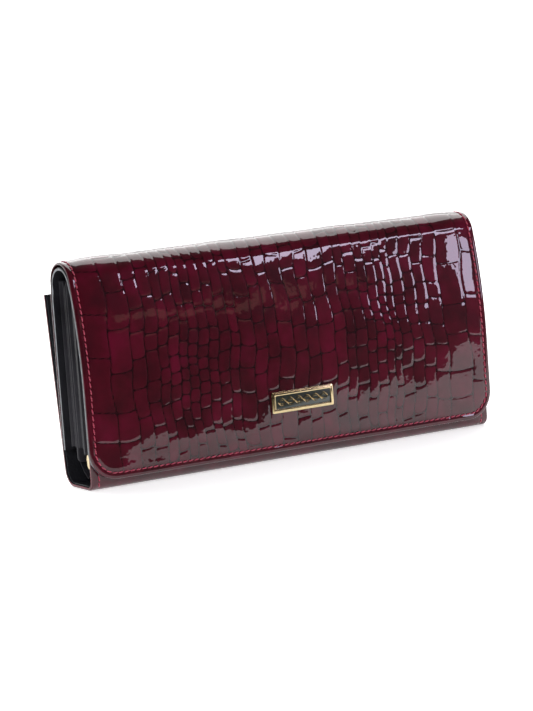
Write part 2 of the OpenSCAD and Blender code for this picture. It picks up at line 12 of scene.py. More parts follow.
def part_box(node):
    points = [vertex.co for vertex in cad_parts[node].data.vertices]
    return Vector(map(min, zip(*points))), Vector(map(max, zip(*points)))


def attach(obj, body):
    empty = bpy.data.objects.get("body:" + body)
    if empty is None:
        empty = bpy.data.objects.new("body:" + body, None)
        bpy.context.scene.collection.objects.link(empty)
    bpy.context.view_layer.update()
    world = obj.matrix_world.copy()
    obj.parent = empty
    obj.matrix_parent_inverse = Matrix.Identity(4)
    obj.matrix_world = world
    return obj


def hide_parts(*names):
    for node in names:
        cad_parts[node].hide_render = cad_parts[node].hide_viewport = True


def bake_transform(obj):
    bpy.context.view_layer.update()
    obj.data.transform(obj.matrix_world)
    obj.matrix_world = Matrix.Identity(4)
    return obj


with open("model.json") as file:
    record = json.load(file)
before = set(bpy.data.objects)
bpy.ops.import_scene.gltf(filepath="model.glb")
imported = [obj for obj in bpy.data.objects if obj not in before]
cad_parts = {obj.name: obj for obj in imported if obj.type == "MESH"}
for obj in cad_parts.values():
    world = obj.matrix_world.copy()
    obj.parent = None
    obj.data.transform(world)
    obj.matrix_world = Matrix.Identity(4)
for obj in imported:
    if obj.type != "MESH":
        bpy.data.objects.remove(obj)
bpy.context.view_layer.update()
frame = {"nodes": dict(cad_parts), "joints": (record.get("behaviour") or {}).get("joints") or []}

bl_info = {
    "name": "Long flap wallet",
    "version": (1, 0, 0),
    "blender": (4, 5, 0),
    "location": "View3D > Sidebar > Wallet",
    "description": "Builds a patent leather flap wallet around its packed parts",
    "category": "Object",
}

MM = 0.001
JOINTS = {joint["name"]: joint for joint in frame["joints"]}


# ---- places, in millimetres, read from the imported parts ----


def low(node):
    return np.array(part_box(node)[0]) / MM


def high(node):
    return np.array(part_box(node)[1]) / MM


LENGTH = high("flap_front_leather")[0] * 2
BODY_LENGTH = high("shell_leather")[0] * 2
FRONT_Y = low("flap_front_leather")[1]
EDGE_Z = low("flap_front_leather")[2]
WALL_Y = high("back_wall_leather")[1]
WALL_FOOT_Z = low("back_wall_leather")[2]
FOLD_REAR = np.array(JOINTS["flap_open"]["pos_m"]) / MM
FOLD_FRONT = np.array(JOINTS["flap_fold"]["pos_m"]) / MM
HINGE = np.array(JOINTS["purse_open"]["pos_m"]) / MM
# The fold lines lie a quarter arc's half length out from the arch's centre, both ways
FOLD_OUT = (FOLD_REAR[1] - FOLD_FRONT[1]) / 2
ARCH_R = FOLD_OUT * 4 / math.pi
ARCH_Y = (FOLD_REAR[1] + FOLD_FRONT[1]) / 2
ARCH_Z = FOLD_REAR[2] - FOLD_OUT
# Height below which the flap's front hangs straight down
STRAIGHT_Z = 36.0
SETBACK = ARCH_Y - ARCH_R - FRONT_Y
DROP = ARCH_Z - STRAIGHT_Z
LEAN = 2 * math.atan(SETBACK / DROP)
FRONT_R = ARCH_R + DROP / math.sin(LEAN)
# Thicknesses of the shell leather, the flap hide, the lining under it, and that on the wall
LEATHER_T = 1.2
HIDE_T = 0.95
FLAP_T = 2.1
WALL_T = 2.66

# Lengths along the flap's outer face, from its lower edge up and over to the wall's foot
RUN_STRAIGHT = STRAIGHT_Z - EDGE_Z
RUN_LEAN = RUN_STRAIGHT + FRONT_R * LEAN
RUN_APEX = RUN_LEAN + ARCH_R * (math.pi / 2 - LEAN)
RUN_WALL = RUN_APEX + ARCH_R * math.pi / 2
RUN_FOOT = RUN_WALL + ARCH_Z - WALL_FOOT_Z

# The shell: back panel, base and front panel, from the back's top edge round to the front's
PANEL_Y = low("front_panel_leather")[1]
PANEL_TOP = high("front_panel_leather")[2]
BACK_LEAN = math.radians(5.5)
BACK_FOLD_R = 7.0
FRONT_FOLD_R = 4.0
BACK_TOP_Z = 76.0
BACK_Y = high("shell_leather")[1]
BACK_RUN = (BACK_TOP_Z - BACK_FOLD_R * (1 - math.sin(BACK_LEAN))) / math.cos(BACK_LEAN)
BACK_C = (
    BACK_Y
    - BACK_FOLD_R * math.cos(BACK_LEAN)
    - math.tan(BACK_LEAN) * (BACK_TOP_Z - BACK_FOLD_R * (1 - math.sin(BACK_LEAN)))
)
FRONT_C = PANEL_Y + FRONT_FOLD_R
TURN_BACK = BACK_RUN + BACK_FOLD_R * (math.pi / 2 - BACK_LEAN)
TURN_FLAT = TURN_BACK + BACK_C - FRONT_C
TURN_FRONT = TURN_FLAT + FRONT_FOLD_R * math.pi / 2
TURN_END = TURN_FRONT + PANEL_TOP - FRONT_FOLD_R
# The shell is parted under the wallet, into a back part and a front part
PART_Y = -4.0
TURN_PART = TURN_BACK + BACK_C - PART_Y


# ---- sizes and colours a user may change ----


def linear(code):
    """An sRGB hex colour as linear RGBA"""
    parts = [int(code[i:i + 2], 16) / 255 for i in (0, 2, 4)]
    return [c / 12.92 if c <= 0.04045 else ((c + 0.055) / 1.055) ** 2.4 for c in parts] + [1.0]


def length(name, text, default, least, most):
    """A size given in mm, kept in metres and shown in the scene's unit"""
    return bpy.props.FloatProperty(
        name=name, description=text, default=default * MM, min=least * MM, max=most * MM,
        unit="LENGTH", precision=5,
    )


def colour(name, text, code):
    return bpy.props.FloatVectorProperty(
        name=name, description=text, default=linear(code), subtype="COLOR", size=4, min=0, max=1,
    )


class WalletSizes(bpy.types.PropertyGroup):
    """Sizes of the leather work"""

    groove_depth: length("Groove depth", "Depth of the embossed grooves", 0.07, 0.02, 0.6)
    groove_width: length("Groove width", "Half width of a groove's shoulder", 0.45, 0.2, 1.5)
    stitch_pitch: length("Stitch pitch", "Distance between stitches", 2.6, 1.5, 5)
    thread: length("Thread", "Diameter of the sewing thread", 0.55, 0.3, 1)
    corner: length("Corner", "Radius of the flap's lower corners", 11.5, 6, 20)


class WalletColours(bpy.types.PropertyGroup):
    """Colours of the leather, thread and metal"""

    leather: colour("Leather", "Tile tops of the patent leather", "430413")
    # The groove colour is painted shade: a darker colour laid in the grooves in place of their
    # shade
    groove: colour("Groove", "Bottom of the embossed grooves", "1c0206")
    thread: colour("Thread", "Sewing thread", "c2415c")
    lining: colour("Lining", "Black lining leather", "1b1b1f")
    # The edge paint's pale grey is partly a painted highlight of the black lining's lit cut edge
    edge: colour("Edge paint", "Painted edge of the linings", "6d7278")
    gold: colour("Gold", "Pale gold plating", "e2cd9f")


# ---- node helpers and materials ----


def add(tree, kind, settings=None, links=None):
    """Adds a node with its settings, by socket or property, and links its inputs"""
    made = tree.nodes.new(kind)
    for key, value in (settings or {}).items():
        if isinstance(key, int) or key in made.inputs:
            made.inputs[key].default_value = value
        else:
            setattr(made, key, value)
    for key, socket in (links or {}).items():
        tree.links.new(socket, made.inputs[key])
    return made


def blank(name):
    """A new material with an empty node tree"""
    material = bpy.data.materials.new(name)
    material.use_nodes = True
    tree = material.node_tree
    tree.nodes.clear()
    return material, tree


def principled(tree, settings, links=None):
    """The surface shader, joined to the output"""
    shader = add(tree, "ShaderNodeBsdfPrincipled", settings, links)
    add(tree, "ShaderNodeOutputMaterial", links={"Surface": shader.outputs[0]})


def object_place(tree):
    return add(tree, "ShaderNodeTexCoord").outputs["Object"]


def noise(tree, vector, scale, detail):
    settings = {"Scale": scale, "Detail": detail}
    return add(tree, "ShaderNodeTexNoise", settings, {"Vector": vector}).outputs[0]


def bump(tree, height, strength, depth, **links):
    """Relief with its depth in mm"""
    settings = {"Strength": strength, "Distance": depth * MM}
    return add(tree, "ShaderNodeBump", settings, {"Height": height, **links}).outputs[0]


def spread(tree, socket, least, most):
    """A value taken from 0-1 to a range of roughness"""
    return add(tree, "ShaderNodeMapRange", {3: least, 4: most}, {0: socket}).outputs[0]


def ramp(tree, socket, stops):
    """A colour ramp with stops given as position and colour"""
    made = add(tree, "ShaderNodeValToRGB", links={0: socket})
    elements = made.color_ramp.elements
    while len(elements) < len(stops):
        elements.new(0.5)
    for element, (place, tint) in zip(elements, stops):
        element.position = place
        element.color = tint
    return made.outputs[0]


def tone(base, share):
    """A colour made darker or lighter"""
    return [c * share for c in base[:3]] + [1]


def patent_leather(name, colours):
    """Cowhide with a poured clear patent coat: deep wine red under a hard wet gloss"""
    material, tree = blank(name)
    uv = add(tree, "ShaderNodeUVMap", {"uv_map": "hide"}).outputs[0]
    # Cloudy dye, patches about 12 mm across
    tint = ramp(tree, noise(tree, uv, 8.0, 3.0), [
        (0.35, linear("2b040c")), (0.5, tone(colours.leather, 1)), (0.68, linear("5c0524")),
    ])
    tile = add(tree, "ShaderNodeAttribute", {"attribute_name": "tile"})
    groove = add(tree, "ShaderNodeAttribute", {"attribute_name": "groove"})
    # Each tile takes the dye a little differently
    shade = ramp(tree, tile.outputs["Fac"], [
        (0.0, linear("32040e")), (0.5, linear("400414")), (1.0, linear("50051c")),
    ])
    tint = add(tree, "ShaderNodeMix", {"data_type": "RGBA", 0: 0.5}, {6: tint, 7: shade})
    # Painted shade: the groove mask mixes the darker groove colour into the grooves
    tint = add(
        tree, "ShaderNodeMix", {"data_type": "RGBA", 7: tone(colours.groove, 1)},
        {0: groove.outputs["Fac"], 6: tint.outputs[2]},
    ).outputs[2]
    # The poured coat ripples over 2.5 mm, and finer grain of 0.3 mm lies under it
    coat = bump(tree, noise(tree, uv, 40.0, 1.0), 0.5, 0.06)
    under = bump(tree, noise(tree, uv, 330.0, 2.0), 0.4, 0.04, Normal=coat)
    principled(
        tree,
        {
            "Roughness": 0.42, "IOR": 1.5, "Specular IOR Level": 0.08,
            "Coat Weight": 1.0, "Coat Roughness": 0.018, "Coat IOR": 1.56,
        },
        {"Base Color": tint, "Normal": under, "Coat Normal": coat},
    )
    return material


def grained_leather(name, base, scale=900.0, rough=0.42):
    """Pressed fine-grained lining leather, satin: pebbles about 1 mm across catch soft light"""
    material, tree = blank(name)
    place = object_place(tree)
    pebble = add(
        tree, "ShaderNodeTexVoronoi", {"Scale": scale, "feature": "SMOOTH_F1"}, {"Vector": place}
    )
    cloud = noise(tree, place, 60.0, 4.0)
    principled(
        tree, {"IOR": 1.5, "Specular IOR Level": 0.5},
        {
            "Base Color": ramp(tree, cloud, [(0.3, tone(base, 0.6)), (0.7, tone(base, 1.6))]),
            "Roughness": spread(tree, cloud, rough - 0.08, rough + 0.12),
            "Normal": bump(tree, pebble.outputs["Distance"], 0.6, 0.15),
        },
    )
    return material


def edge_paint(name, base):
    """Edge dye rolled on the cut edge: a thin skin, slightly uneven, half gloss"""
    material, tree = blank(name)
    worn = noise(tree, object_place(tree), 450.0, 4.0)
    principled(
        tree, {"Roughness": 0.35, "IOR": 1.5},
        {
            "Base Color": ramp(tree, worn, [(0.35, tone(base, 0.45)), (0.6, tone(base, 1))]),
            "Normal": bump(tree, worn, 0.5, 0.1),
        },
    )
    return material


def plated_gold(name, base, rough=0.16):
    """Pale gold plating on pressed steel: bright, with faint polishing haze"""
    material, tree = blank(name)
    haze = noise(tree, object_place(tree), 300.0, 3.0)
    principled(
        tree, {"Metallic": 1.0},
        {
            "Base Color": ramp(tree, haze, [(0.3, tone(base, 0.85)), (0.7, tone(base, 1))]),
            "Roughness": spread(tree, haze, rough - 0.05, rough + 0.1),
            "Normal": bump(tree, haze, 0.15, 0.05),
        },
    )
    return material


def twisted_thread(name, base):
    """Twisted polyester sewing thread: satin, with its twist showing as slanted ridges"""
    material, tree = blank(name)
    # The wave node repeats every 0.7 mm along each axis at this scale
    twist = add(
        tree, "ShaderNodeTexWave",
        {"Scale": 900.0, "Distortion": 0.6, "bands_direction": "DIAGONAL"},
        {"Vector": object_place(tree)},
    ).outputs[0]
    principled(
        tree, {"Roughness": 0.45, "Sheen Weight": 0.3, "Sheen Roughness": 0.4},
        {
            "Base Color": ramp(tree, twist, [(0.1, tone(base, 0.45)), (0.7, tone(base, 1))]),
            "Normal": bump(tree, twist, 0.7, 0.1),
        },
    )
    return material


def woven_cloth(name, base, spacing=0.45):
    """Woven polyester, matt: crossed threads, which lie about twice the spacing in mm apart"""
    material, tree = blank(name)
    place = object_place(tree)
    scale = 1 / (spacing * MM) / 6.283
    warp, weft = (
        add(tree, "ShaderNodeTexWave", {"Scale": scale, "bands_direction": way}, {"Vector": place})
        for way in "XZ"
    )
    cross = add(
        tree, "ShaderNodeMath", {"operation": "MULTIPLY"},
        {0: warp.outputs["Fac"], 1: weft.outputs["Fac"]},
    ).outputs[0]
    principled(
        tree, {"Roughness": 0.8, "Sheen Weight": 0.25},
        {
            "Base Color": ramp(tree, cross, [(0.0, tone(base, 0.5)), (1.0, tone(base, 1.8))]),
            "Normal": bump(tree, cross, 0.6, 0.1),
        },
    )
    return material


def lacquered_plate(name, base):
    """Brushed brass plate under dark translucent lacquer: glossy, with faint brush lines"""
    material, tree = blank(name)
    stretch = add(
        tree, "ShaderNodeMapping", {"Scale": (40.0, 1.0, 2600.0)}, {"Vector": object_place(tree)}
    )
    brush = noise(tree, stretch.outputs[0], 1.0, 3.0)
    principled(
        tree, {"Metallic": 0.6, "Roughness": 0.3, "Coat Weight": 1.0, "Coat Roughness": 0.03},
        {"Base Color": ramp(tree, brush, [(0.3, tone(base, 0.7)), (0.7, tone(base, 1.35))])},
    )
    return material


MATERIALS = {}


def make_materials(colours):
    MATERIALS.update(
        hide=patent_leather("embossed_patent_leather", colours),
        lining=grained_leather("black_lining_leather", colours.lining),
        leaf=grained_leather("black_split_leather", linear("222126"), scale=700.0, rough=0.5),
        # Grey edge paint, made pale partly as a painted highlight of the lit edges
        edge=edge_paint("grey_edge_paint_and_highlight", colours.edge),
        red_edge=edge_paint("red_edge_paint", linear("7c1a30")),
        gold=plated_gold("pale_gold_plating", colours.gold),
        zip_gold=plated_gold("zip_gold_plating", linear("d9b56f"), rough=0.24),
        snap_gold=plated_gold("satin_gold_plating", linear("cfae6c"), rough=0.3),
        thread=twisted_thread("twisted_polyester_thread", colours.thread),
        cloth=woven_cloth("woven_polyester_lining", linear("1a1a1e")),
        tape=woven_cloth("woven_zip_tape", linear("1c1c20"), spacing=0.6),
        plate=lacquered_plate("dark_lacquered_brass", linear("3d423d")),
    )


# ---- profiles ----


def flap_place(run):
    """Outer face of the flap at a run from its lower edge: y, z and the outward normal"""
    run = np.asarray(run, float)
    lean = np.clip((run - RUN_STRAIGHT) / FRONT_R, 0, LEAN)
    turn = np.clip((run - RUN_LEAN) / ARCH_R, 0, math.pi - LEAN)
    angle = math.pi - lean - turn
    y = FRONT_Y + FRONT_R * (1 - np.cos(lean))
    z = np.minimum(run, RUN_STRAIGHT) + EDGE_Z + FRONT_R * np.sin(lean)
    on_arch = run > RUN_LEAN
    y = np.where(on_arch, ARCH_Y + ARCH_R * np.cos(angle), y)
    z = np.where(on_arch, ARCH_Z + ARCH_R * np.sin(angle), z)
    z = z - np.maximum(run - RUN_WALL, 0)
    return y, z, np.cos(angle), np.sin(angle)


def shell_place(run):
    """Outer face of the shell at a run from the back's top edge: y, z and normal"""
    run = np.asarray(run, float)
    back = np.clip((run - BACK_RUN) / BACK_FOLD_R, 0, math.pi / 2 - BACK_LEAN)
    front = np.clip((run - TURN_FLAT) / FRONT_FOLD_R, 0, math.pi / 2)
    angle = -BACK_LEAN - back - front
    above = np.maximum(BACK_RUN - run, 0)
    y = BACK_C + BACK_FOLD_R * np.cos(-BACK_LEAN - back) + above * math.sin(BACK_LEAN)
    z = BACK_FOLD_R + BACK_FOLD_R * np.sin(-BACK_LEAN - back) + above * math.cos(BACK_LEAN)
    y = y - np.clip(run - TURN_BACK, 0, BACK_C - FRONT_C)
    y = y - FRONT_FOLD_R * np.sin(front)
    z = z + FRONT_FOLD_R * (1 - np.cos(front)) + np.maximum(run - TURN_FRONT, 0)
    return y, z, np.cos(angle), np.sin(angle)


# ---- the embossing: a lattice of tiles, small in two patches, tall in the middle ----


# The two patches of small tiles, in mm: middle across and along the run, reach across and along
PATCHES = ((-44, 40, 20, 26), (46, 50, 22, 25))


def scatter(i, j, salt):
    """A fixed number from 0 to 1 for each lattice place"""
    mixed = np.sin(i * 127.1 + j * 311.7 + salt * 74.7) * 43758.5453
    return mixed - np.floor(mixed)


def column_width(x):
    """Width of the tiles, in mm: narrow in the two patches, broad at the ends"""
    narrow = np.exp(-(((np.abs(x) - 44) / 19) ** 2))
    ends = np.clip((np.abs(x) - 68) / 16, 0, 1)
    return 6.4 - 2.3 * narrow + 5.5 * ends


def tile_height(x, run):
    """Height of the tiles, in mm: short in the two patches, tall elsewhere"""
    small = sum(
        np.exp(-(((x - at) / wide) ** 2) - ((run - up) / tall) ** 2)
        for at, up, wide, tall in PATCHES
    )
    ends = np.clip((np.abs(x) - 70) / 16, 0, 1)
    return 12.0 - 7.6 * np.clip(small, 0, 1) + 6.0 * ends


GRID = 1.0
FIELD_X = np.arange(-110, 111, GRID)
FIELD_S = np.arange(-5, 260, GRID)
FIELD = {}


def make_field():
    """Adds up the tile sizes over the hide, so that lattice numbers run without a step"""
    across = np.cumsum(GRID / column_width(FIELD_X))
    sx, ss = np.meshgrid(FIELD_X, FIELD_S)
    along = np.cumsum(GRID / tile_height(sx, ss), axis=0)
    FIELD.update(across=across - across[len(FIELD_X) // 2], along=along)


def row_number(x, run):
    """Rows counted up a column at x, between the table's points"""
    fx = np.clip((x - FIELD_X[0]) / GRID, 0, len(FIELD_X) - 1.001)
    fs = np.clip((run - FIELD_S[0]) / GRID, 0, len(FIELD_S) - 1.001)
    ix, js = fx.astype(int), fs.astype(int)
    tx, ts = fx - ix, fs - js
    table = FIELD["along"]
    top = table[js, ix] * (1 - tx) + table[js, ix + 1] * tx
    end = table[js + 1, ix] * (1 - tx) + table[js + 1, ix + 1] * tx
    return top * (1 - ts) + end * ts


def tiles(x, run):
    """Distance to the nearest groove in mm, and a fixed number for the tile"""
    waver = 0.9 * np.sin(run * 0.1 + x * 0.03) + 0.45 * np.sin(run * 0.27 + x * 0.11 + 1)
    lean = x + waver
    p = np.interp(lean, FIELD_X, FIELD["across"])

    def column_edge(i):
        return i + 0.3 * (scatter(i, 0 * i, 1) - 0.5)

    i = np.floor(p)
    i = i - (p < column_edge(i)) + (p >= column_edge(i + 1))
    start, stop = column_edge(i), column_edge(i + 1)
    beside = np.minimum(p - start, stop - p) * column_width(lean)
    middle = np.interp((start + stop) / 2, FIELD["across"], FIELD_X)
    share = (p - start) / (stop - start)
    arch = 0.1 * (scatter(i, 0 * i, 6) - 0.2) * (4 * share * (1 - share))
    tilt = 0.24 * (scatter(i, 0 * i, 5) - 0.5) * (share - 0.5)
    bow = arch + tilt
    q = row_number(middle, run) + bow + 0.5 * (i % 2) + 0.4 * scatter(i, 0 * i, 2)

    def row_edge(j):
        return j + 0.42 * (scatter(i, j, 3) - 0.5)

    j = np.floor(q)
    j = j - (q < row_edge(j)) + (q >= row_edge(j + 1))
    above = np.minimum(q - row_edge(j), row_edge(j + 1) - q) * tile_height(middle, run)
    # The two distances blend, so that the tiles' corners are round
    blend = 0.5
    gap = -blend * np.log(np.exp(-beside / blend) + np.exp(-above / blend))
    return np.maximum(gap, 0), scatter(i, j, 4)


def smooth(t):
    t = np.clip(t, 0, 1)
    return t * t * (3 - 2 * t)


def rim_distance(x, run, half, corner):
    """Distance in from a sheet's end edges and lower edge with round corners"""
    ax = np.abs(x) - (half - corner)
    ay = corner - run
    outside = np.hypot(np.maximum(ax, 0), np.maximum(ay, 0))
    return corner - np.where((ax > 0) & (ay > 0), outside, np.maximum(ax, ay))


def rim_roll(e, radius):
    """How far a rounded edge falls away at a distance in from the rim"""
    t = np.clip(1 - e / radius, 0, 1)
    return radius * (1 - np.sqrt(np.maximum(1 - t * t, 0)))


def end_sweep(x, half):
    """The hide falls back a little towards both ends"""
    t = np.clip((np.abs(x) - (half - 17)) / 17, 0, 1)
    return 0.95 * t * t


def on_wall(run):
    """1 on the back wall, below the arch, and 0 on the rest of the flap"""
    return smooth((run - RUN_WALL - 2) / 4)


def swell(x, run):
    """Slow waves of the padded hide, which break up its reflections"""
    return (
        0.1 * np.sin(x * 0.11 + run * 0.05)
        + 0.07 * np.sin(x * 0.23 - run * 0.14 + 1.3)
        + 0.05 * np.sin(x * 0.05 + run * 0.27 + 0.4)
        - 0.1
    )


# ---- sheets swept along a profile ----


def spaced(a, b, step):
    return np.linspace(a, b, max(2, int(round(abs(b - a) / step)) + 1))


def columns(half, step):
    """Places across a sheet, close together at the rounded rims"""
    rim = [0, 0.06, 0.16, 0.32, 0.55, 0.9]
    inner = spaced(-half + 1.4, half - 1.4, step)
    return np.concatenate([[-half + r for r in rim], inner, [half - r for r in reversed(rim)]])


def corner_rows(corner, step):
    """Places up a sheet's lower edge, evenly spaced along its round corners"""
    turns = spaced(0, math.pi / 2, step / corner)
    return corner * (1 - np.cos(turns))


def sweep(name, us, runs, place, half, corner, height, thickness, back_columns=12):
    """A closed sheet along a profile: outer face in full detail, inner face in long strips"""
    u, s = np.meshgrid(us, runs)
    width = np.full(s.shape, half)
    if corner:
        low_part = s < corner
        rise = np.sqrt(np.maximum(corner ** 2 - (corner - s) ** 2, 0))
        width = np.where(low_part, half - corner + rise, half)
    x = u * width / half
    lift, groove, tile = height(x, s)
    y, z, ny, nz = place(s)
    outer = np.stack([x, y + ny * lift, z + nz * lift], -1)
    pick = np.unique(np.linspace(0, len(us) - 1, back_columns).round().astype(int))
    sunk = -(thickness(x, s) if callable(thickness) else np.full(s.shape, thickness))
    inner = np.stack([x, y + ny * sunk, z + nz * sunk], -1)[:, pick]
    rows, cols = s.shape
    many = len(pick)
    points = np.concatenate([outer.reshape(-1, 3), inner.reshape(-1, 3)]) * MM
    base = rows * cols
    r, c = np.meshgrid(np.arange(rows - 1), np.arange(cols - 1), indexing="ij")
    a = r * cols + c
    faces = np.stack([a, a + 1, a + cols + 1, a + cols], -1).reshape(-1, 4).tolist()
    front = len(faces)
    r, c = np.meshgrid(np.arange(rows - 1), np.arange(many - 1), indexing="ij")
    b = base + r * many + c
    faces += np.stack([b, b + many, b + many + 1, b + 1], -1).reshape(-1, 4).tolist()
    inside = len(faces)
    for k in range(rows - 1):
        near, far = base + k * many, base + k * many + many - 1
        faces.append([k * cols, (k + 1) * cols, near + many, near])
        faces.append([k * cols + cols - 1, far, far + many, (k + 1) * cols + cols - 1])
    for k in range(many - 1):
        span = list(range(pick[k], pick[k + 1] + 1))
        faces.append([base + k, base + k + 1] + span[::-1])
        top = (rows - 1) * cols
        faces.append(
            [base + (rows - 1) * many + k + 1, base + (rows - 1) * many + k]
            + [top + i for i in span]
        )
    piece = mesh_piece(name, points.tolist(), faces)
    mesh = piece.data
    spot = np.stack([x, s], -1)
    flat = np.concatenate([spot.reshape(-1, 2), spot[:, pick].reshape(-1, 2)])
    # groove carries the mask of painted shade in the grooves; tile a fixed number for each tile
    for title, values in (("groove", groove), ("tile", tile)):
        full = np.concatenate([values.ravel(), np.zeros(inner.shape[0] * many)])
        mesh.attributes.new(title, "FLOAT", "POINT").data.foreach_set("value", full)
    loops = np.empty(len(mesh.loops), int)
    mesh.loops.foreach_get("vertex_index", loops)
    mesh.uv_layers.new(name="hide").data.foreach_set("uv", (flat[loops] / 100).ravel())
    part = np.ones(len(faces), int)
    part[:front] = 0
    part[front:inside] = 2
    return piece, part


def finish_sheet(piece, part, materials):
    """Gives a sheet its outer, rim and inner materials, and turns its faces outwards"""
    for material in materials:
        piece.data.materials.append(material)
    piece.data.polygons.foreach_set("material_index", np.minimum(part, len(materials) - 1))
    face_outwards(piece)
    bpy.ops.object.shade_smooth_by_angle(angle=math.radians(40))
    return piece


def only(piece):
    """Makes one object the active one, and the only one selected"""
    if bpy.context.mode != "OBJECT":
        bpy.ops.object.mode_set(mode="OBJECT")
    bpy.ops.object.select_all(action="DESELECT")
    piece.select_set(True)
    bpy.context.view_layer.objects.active = piece


def face_outwards(piece):
    only(piece)
    bpy.ops.object.mode_set(mode="EDIT")
    bpy.ops.mesh.select_all(action="SELECT")
    bpy.ops.mesh.normals_make_consistent(inside=False)
    bpy.ops.object.mode_set(mode="OBJECT")


def mesh_piece(name, points, faces):
    """A linked object from computed points, for what no primitive can be shaped into"""
    mesh = bpy.data.meshes.new(name)
    mesh.from_pydata(points, [], faces)
    piece = bpy.data.objects.new(name, mesh)
    bpy.context.collection.objects.link(piece)
    return piece


def apply_all(piece):
    only(piece)
    for modifier in list(piece.modifiers):
        bpy.ops.object.modifier_apply(modifier=modifier.name)


# ---- flap ----

SEAM_IN = 2.5
SEAM_SINK = -0.1
# How far the lining's rim stands in from the hide's
LINING_IN = 0.15
# Border left plain outside the embossing, and the width over which the embossing starts
PLAIN_RIM = 1.2
RIM_FADE = 2.0
# Share of a groove's width that takes the painted shade, a darker colour
GROOVE_SHADE_SHARE = 0.55
# An angle in from the ends of each half of the arch, for the points handed to the seams
BEND = math.radians(5)


def arch_point(angle):
    """A point on the arch's outer face"""
    return Vector((0, ARCH_Y + ARCH_R * math.cos(angle), ARCH_Z + ARCH_R * math.sin(angle))) * MM


def hide_lift(sizes, x, run, half, corner, edges=True):
    """Height of the embossed hide over its plain face, with grooves, seam and rolled rim"""
    gap, own = tiles(x, run)
    e = rim_distance(x, run, half, corner) if edges else half - np.abs(x)
    fade = smooth((e - PLAIN_RIM) / RIM_FADE)
    cut = sizes.groove_depth * np.exp(-((gap / sizes.groove_width) ** 2))
    crown = 0.014 * (1 - np.exp(-gap / 1.4)) + 0.005 * (own - 0.5) * smooth(gap / 1.5)
    seam = 0.22 * np.exp(-(((e - SEAM_IN) / 0.7) ** 2))
    lift = fade * (crown - cut - 0.03) + swell(x, run) * smooth(e / 8) - 0.05
    lift = lift - seam - rim_roll(e, 0.7) - end_sweep(x, half)
    # Mask of the painted shade in the grooves, weaker towards the plain rim
    groove = np.exp(-((gap / (GROOVE_SHADE_SHARE * sizes.groove_width)) ** 2)) * (0.25 + 0.75 * fade)
    return lift, groove, own


def build_flap_hide(sizes):
    half = LENGTH / 2
    us = columns(half, 0.47)
    runs = np.concatenate([
        corner_rows(sizes.corner, 0.5), spaced(sizes.corner, RUN_APEX, 0.45)[1:]
    ])

    def front(x, s):
        return hide_lift(sizes, x, s, half, sizes.corner)

    def sunk(x, s):
        return HIDE_T + end_sweep(x, half)

    piece, part = sweep(
        "flap_front_hide", us, runs, flap_place, half, sizes.corner, front, sunk, 40
    )
    finish_sheet(piece, part, [MATERIALS["hide"]])
    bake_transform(piece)
    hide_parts("flap_front_leather")

    def rear(x, s):
        lift, groove, own = hide_lift(sizes, x, s, half, sizes.corner, edges=False)
        flat = -0.25 - rim_roll(half - np.abs(x), 0.7)
        return lift + (flat - lift) * on_wall(s), groove, own

    def rear_sunk(x, s):
        return HIDE_T + end_sweep(x, half) * (1 - on_wall(s)) + 0.2 * on_wall(s)

    runs = np.concatenate([
        spaced(RUN_APEX, RUN_WALL + 8, 0.5), spaced(RUN_WALL + 8, RUN_FOOT, 4.0)[1:]
    ])
    piece, part = sweep(
        "flap_rear_hide", columns(half, 0.5), runs, flap_place, half, 0, rear, rear_sunk, 40
    )
    finish_sheet(piece, part, [MATERIALS["hide"]])
    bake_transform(piece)
    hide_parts("flap_spine_leather", "back_wall_leather")


def build_flap_lining(sizes):
    half = LENGTH / 2 - LINING_IN
    corner = sizes.corner - LINING_IN

    def slack(s):
        """The lining stands off the hide over the arch"""
        t = (s - RUN_LEAN + 6) / (RUN_WALL - RUN_LEAN + 6)
        return 1.1 * np.sin(np.clip(t, 0, 1) * math.pi) ** 0.8

    def face(x, s):
        e = rim_distance(x, s - LINING_IN, half, corner)
        lift = -(HIDE_T + 0.04) - slack(s) - rim_roll(e, 0.3)
        lift = lift - end_sweep(x, half) * (1 - on_wall(s)) - 0.2 * on_wall(s)
        return lift, np.zeros(x.shape), np.zeros(x.shape)

    def sunk(x, s):
        wall = (WALL_T - FLAP_T) * smooth((s - RUN_WALL) / 4)
        ease = 0.04 * np.sin(x * 0.3) * np.sin(s * 0.25) * (1 - on_wall(s))
        return FLAP_T + slack(s) + wall + end_sweep(x, half) * (1 - on_wall(s)) + ease

    runs = np.concatenate([
        corner_rows(corner, 1.0) + LINING_IN, spaced(corner + LINING_IN, RUN_APEX, 1.2)[1:]
    ])

    def lay(name, rows, corner_radius, nodes):
        piece, part = sweep(
            name, columns(half, 2.0), rows, flap_place, half, corner_radius, face, sunk, 60
        )
        # The rims take the grey edge paint, pale partly as a painted highlight
        finish_sheet(piece, part, [MATERIALS["lining"], MATERIALS["edge"], MATERIALS["lining"]])
        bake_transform(piece)
        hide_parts(*nodes)

    lay(
        "flap_front_lining_leather", runs, corner,
        ["flap_front_lining", "flap_front_filler"],
    )
    rows = np.concatenate([
        spaced(RUN_APEX, RUN_WALL + 8, 0.5), spaced(RUN_WALL + 8, RUN_FOOT, 4.0)[1:]
    ])
    lay(
        "flap_rear_lining_leather", rows, 0,
        ["flap_spine_lining", "back_wall_lining", "back_wall_board"],
    )


# ---- stitches ----


